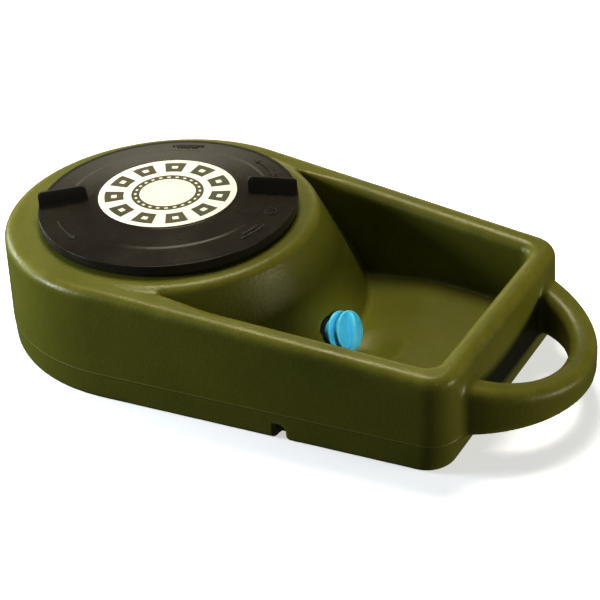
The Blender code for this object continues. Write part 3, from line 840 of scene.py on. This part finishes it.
def stopper_blue():
    """Soft light-blue vinyl that lets a little light through, with paler colour painted on the sharp rib
    edges as light shining through them.
    """
    n = Nodes("stopper_blue", 0.33)
    cloud = n.noise(90.0, 3.0)
    colour = n.mix(n.remap(cloud, 0.35, 0.7), (0.075, 0.560, 0.900), (0.110, 0.640, 0.930))
    # Paler colour on convex rib edges: painted light, standing in for light passing through the thin vinyl.
    edge = n.remap(n.pointiness(), 0.50, 0.60)
    colour = n.mix(n.math("MULTIPLY", edge, 0.6), colour, (0.28, 0.86, 0.97))
    n.shader.inputs["Subsurface Weight"].default_value = 0.12
    n.shader.inputs["Subsurface Scale"].default_value = 0.002
    n.shader.inputs["Subsurface Radius"].default_value = (0.4, 0.9, 1.0)
    return n.finish(colour, n.bump(n.noise(800.0, 2.0), 0.00006, 0.5), n.remap(cloud, 0.3, 0.7, 0.26, 0.4))


def label_print():
    """Cream vinyl sticker, printed with plain rings, dots and blocks in dark olive ink."""
    n = Nodes("label_print", 0.42)
    x, y = n.axis("X"), n.axis("Y")
    reach = n.math("SQRT", n.math("ADD", n.math("MULTIPLY", x, x), n.math("MULTIPLY", y, y)))
    reach = n.math("MULTIPLY", reach, 1.0 / MM)
    turn = n.math("ARCTAN2", y, x)

    def between(value, low, high, soft=0.12):
        rise = n.remap(value, low - soft, low + soft)
        fall = n.remap(value, high - soft, high + soft, 1.0, 0.0)
        return n.math("MULTIPLY", rise, fall)

    def spokes(count, share):
        """Repeating marks round the circle; share is the part of each pitch that is printed."""
        pitch = 2.0 * math.pi / count
        cell = n.math("PINGPONG", n.math("ADD", turn, math.pi), 0.5 * pitch)
        return n.remap(cell, 0.5 * pitch * share - 0.006, 0.5 * pitch * share + 0.006, 1.0, 0.0)

    def print_on(mask, other):
        return n.math("MAXIMUM", mask, other)

    def marked_ring(low, high, count, share):
        """One ring of repeated marks."""
        return n.math("MULTIPLY", between(reach, low, high), spokes(count, share))

    ink = between(reach, 27.5, 35.3)
    ink = n.math("SUBTRACT", ink, n.math("MULTIPLY", marked_ring(30.2, 32.6, 24, 0.42), 0.9))
    for low, high in ((25.3, 25.9), (19.2, 19.8), (13.2, 13.9), (5.4, 6.0)):
        ink = print_on(ink, n.math("MULTIPLY", between(reach, low, high), 0.4))
    ink = print_on(ink, n.math("MULTIPLY", marked_ring(20.6, 24.0, 48, 0.3), 0.45))
    ink = print_on(ink, n.math("MULTIPLY", marked_ring(14.6, 17.6, 16, 0.45), 0.3))
    ink = print_on(ink, n.math("MULTIPLY", marked_ring(7.5, 11.5, 8, 0.3), 0.3))
    blocks = marked_ring(43.0, 61.5, 11, 0.64)
    hollow = marked_ring(49.5, 55.0, 11, 0.20)
    ink = print_on(ink, n.math("SUBTRACT", blocks, hollow))
    ink = n.math("MULTIPLY", n.math("MAXIMUM", ink, 0.0), n.remap(n.noise(900.0, 3.0), 0.30, 0.42, 0.8, 1.0))
    stain = n.noise(30.0, 4.0, 0.6)
    paper = n.mix(n.remap(stain, 0.35, 0.7), (0.94, 0.93, 0.80), (0.88, 0.87, 0.74))
    colour = n.mix(ink, paper, (0.055, 0.048, 0.018))
    return n.finish(colour, n.bump(n.noise(500.0, 2.0), 0.00003, 0.5), n.remap(stain, 0.3, 0.7, 0.34, 0.5))


def floor_material():
    """Pale matt floor with a faint glow of its own, which keeps its shadows light."""
    n = Nodes("floor_pale", 0.9, 0.1)
    tone = n.remap(n.noise(3.0, 2.0), 0.3, 0.7)
    colour = n.mix(tone, (0.84, 0.87, 0.95), (0.86, 0.89, 0.97))
    n.shader.inputs["Emission Color"].default_value = (1.0, 1.0, 1.0, 1.0)
    n.shader.inputs["Emission Strength"].default_value = 0.6
    return n.finish(colour, n.bump(n.noise(60.0, 2.0), 0.0001, 0.1))


def dress(obj, material):
    obj.data.materials.clear()
    obj.data.materials.append(material)
    return obj


# ---------------------------------------------------------------- floor, light and camera

def add_floor():
    """Plain floor just under the object. It throws no light back onto the object's walls."""
    bm = bmesh.new()
    bmesh.ops.create_grid(bm, x_segments=8, y_segments=8, size=12.0)
    mesh = bpy.data.meshes.new("floor")
    bm.to_mesh(mesh)
    bm.free()
    floor = link_object("floor", mesh)
    floor.location.z = -0.0002
    floor.visible_diffuse = False
    floor.visible_glossy = False
    dress(floor, floor_material())


def aim_light(name, data, location, target):
    light = bpy.data.objects.new(name, data)
    bpy.context.scene.collection.objects.link(light)
    light.location = location
    light.rotation_euler = (Vector(target) - Vector(location)).to_track_quat("-Z", "Y").to_euler()


def add_area_light(name, location, target, size, power, colour):
    data = bpy.data.lights.new(name, "AREA")
    data.shape = "RECTANGLE"
    data.color = colour
    data.size, data.size_y = size
    data.energy = power
    aim_light(name, data, location, target)


def add_spot_light(name, location, target, spread, power):
    data = bpy.data.lights.new(name, "SPOT")
    data.energy = power
    data.spot_size = spread
    data.spot_blend = 0.5
    data.shadow_soft_size = 0.04
    aim_light(name, data, location, target)


def add_lights():
    """A warm key from above and behind, soft cool light on the left wall, and small fills."""
    world = bpy.data.worlds.new("studio")
    world.use_nodes = True
    background = world.node_tree.nodes["Background"]
    background.inputs["Color"].default_value = (1.0, 1.0, 1.0, 1.0)
    background.inputs["Strength"].default_value = 0.07
    bpy.context.scene.world = world
    bpy.context.scene.view_settings.view_transform = "Standard"
    bpy.context.scene.view_settings.gamma = 0.85
    middle = (0.12, 0.0, 0.06)
    left_wall = (-0.1, -0.1, 0.06)
    stopper_face = (0.204, -0.015, 0.042)
    warm = (1.0, 0.94, 0.74)
    cool = (0.90, 0.97, 1.0)
    add_area_light("overhead", (-0.25, 0.58, 1.76), middle, (0.8, 0.7), 36.0, warm)
    add_area_light("back_low", (-0.75, 1.35, 0.42), middle, (1.6, 0.4), 4.0, warm)
    add_area_light("left", (-1.5, 0.1, 0.5), middle, (0.7, 0.5), 14.0, cool)
    add_area_light("left_front", (-0.85, -0.7, 0.45), left_wall, (0.35, 0.35), 13.0, cool)
    add_area_light("right_low", (1.5, 0.2, 0.14), middle, (0.5, 0.2), 9.0, warm)
    add_spot_light("stopper_fill", (0.95, -0.60, 0.62), stopper_face, math.radians(3.4), 60.0)


def add_camera():
    """Camera from the front right and above."""
    azimuth = math.radians(31.232)
    elevation = math.radians(32.337)
    roll = math.radians(-3.65)
    distance = 1.5618
    target = Vector((0.13871, -0.02689, 0.05861))
    back = Vector((
        math.sin(azimuth) * math.cos(elevation),
        -math.cos(azimuth) * math.cos(elevation),
        math.sin(elevation),
    ))
    level_right = (-back).cross(AXIS_UP).normalized()
    level_up = level_right.cross(-back)
    right = level_right * math.cos(roll) + level_up * math.sin(roll)
    up = level_up * math.cos(roll) - level_right * math.sin(roll)
    data = bpy.data.cameras.new("camera")
    data.sensor_width = 36.0
    data.lens = 98.82
    data.shift_x = 0.0286
    data.shift_y = 0.0105
    camera = bpy.data.objects.new("camera", data)
    bpy.context.scene.collection.objects.link(camera)
    placed = Matrix((right, up, back)).transposed().to_4x4()
    placed.translation = target + back * distance
    camera.matrix_world = placed
    bpy.context.scene.camera = camera


add_camera()
add_lights()
add_floor()

tank = dress(make_tank(), tank_olive())
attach(tank, "tank")
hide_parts("tank_body")

lid = dress(make_lid(), lid_black())
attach(lid, "lid")
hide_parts("lid")

marks = dress(make_lid_marks(), lid.data.materials[0])
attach(marks, "lid")

label = dress(make_label(), label_print())
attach(label, "lid")
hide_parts("lid_label")

stopper = dress(make_stopper(), stopper_blue())
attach(stopper, "stopper")
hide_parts("outlet_stopper")

dress(frame["nodes"]["hatch_collar"], collar_black())
dress(frame["nodes"]["lid_gasket"], gasket_rubber())
dress(frame["nodes"]["outlet_bushing"], bushing_black())
